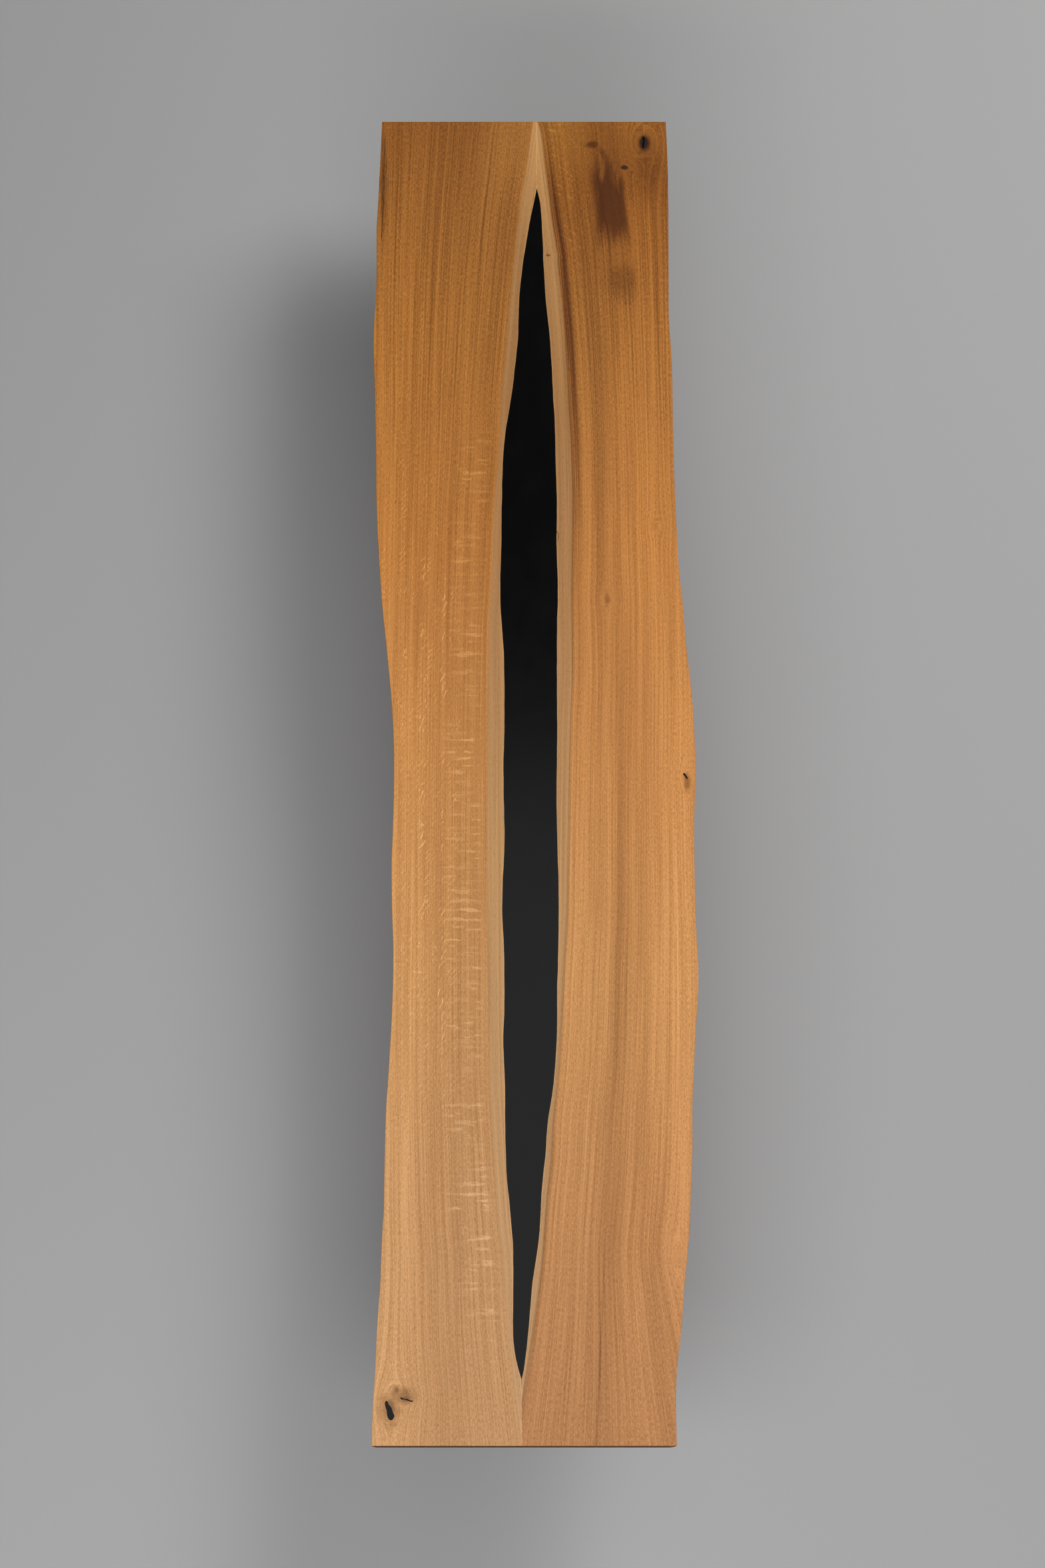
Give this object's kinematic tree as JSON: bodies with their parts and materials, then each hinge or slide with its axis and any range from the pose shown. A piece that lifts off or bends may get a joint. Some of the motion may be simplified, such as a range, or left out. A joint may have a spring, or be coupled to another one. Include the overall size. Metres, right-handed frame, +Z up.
{
  "type": "live-edge river table",
  "caption": "Long dining table of live-edge oak planks either side of a tapering river of black resin, on steel skid frames.",
  "frame": {"origin": "on the floor, under the middle of the table's bounding box", "axes": "+Z up, +Y along the table towards the end with the shorter taper of the river, +X across it to the right"},
  "size_m": [1.0739, 4.5, 0.75],
  "materials": {
    "oiled_oak": "matt hardwax oil",
    "black_resin": "opaque black cast epoxy, sanded to satin",
    "black_powder_coat": "fine matt black powder coat on mild steel",
    "black_zinc": "black zinc plated steel",
    "brass": "as machined",
    "black_glide": "moulded nylon"
  },
  "bodies": {
    "root": {"left_plank": "oiled_oak", "right_plank": "oiled_oak", "river_resin": "black_resin", "frame_bolt_far_1": "black_zinc", "frame_bolt_far_2": "black_zinc", "frame_bolt_far_3": "black_zinc", "frame_bolt_far_4": "black_zinc", "frame_bolt_near_1": "black_zinc", "frame_bolt_near_2": "black_zinc", "frame_bolt_near_3": "black_zinc", "frame_bolt_near_4": "black_zinc", "frame_plate_far": "black_powder_coat", "frame_plate_near": "black_powder_coat", "frame_runner_far": "black_powder_coat", "frame_runner_near": "black_powder_coat", "frame_upright_far_left": "black_powder_coat", "frame_upright_far_right": "black_powder_coat", "frame_upright_near_left": "black_powder_coat", "frame_upright_near_right": "black_powder_coat", "glide_far_left": "black_glide", "glide_far_right": "black_glide", "glide_near_left": "black_glide", "glide_near_right": "black_glide", "knot_fill_edge": "black_resin", "knot_fill_far": "black_resin", "knot_fill_large": "black_resin", "knot_fill_small": "black_resin", "stiffener_far": "black_powder_coat", "stiffener_middle": "black_powder_coat", "stiffener_near": "black_powder_coat", "stiffener_screw_far_1": "black_zinc", "stiffener_screw_far_2": "black_zinc", "stiffener_screw_far_3": "black_zinc", "stiffener_screw_far_4": "black_zinc", "stiffener_screw_middle_1": "black_zinc", "stiffener_screw_middle_2": "black_zinc", "stiffener_screw_middle_3": "black_zinc", "stiffener_screw_middle_4": "black_zinc", "stiffener_screw_near_1": "black_zinc", "stiffener_screw_near_2": "black_zinc", "stiffener_screw_near_3": "black_zinc", "stiffener_screw_near_4": "black_zinc", "threaded_insert_far_1": "brass", "threaded_insert_far_2": "brass", "threaded_insert_far_3": "brass", "threaded_insert_far_4": "brass", "threaded_insert_near_1": "brass", "threaded_insert_near_2": "brass", "threaded_insert_near_3": "brass", "threaded_insert_near_4": "brass"}
  },
  "joints": []
}
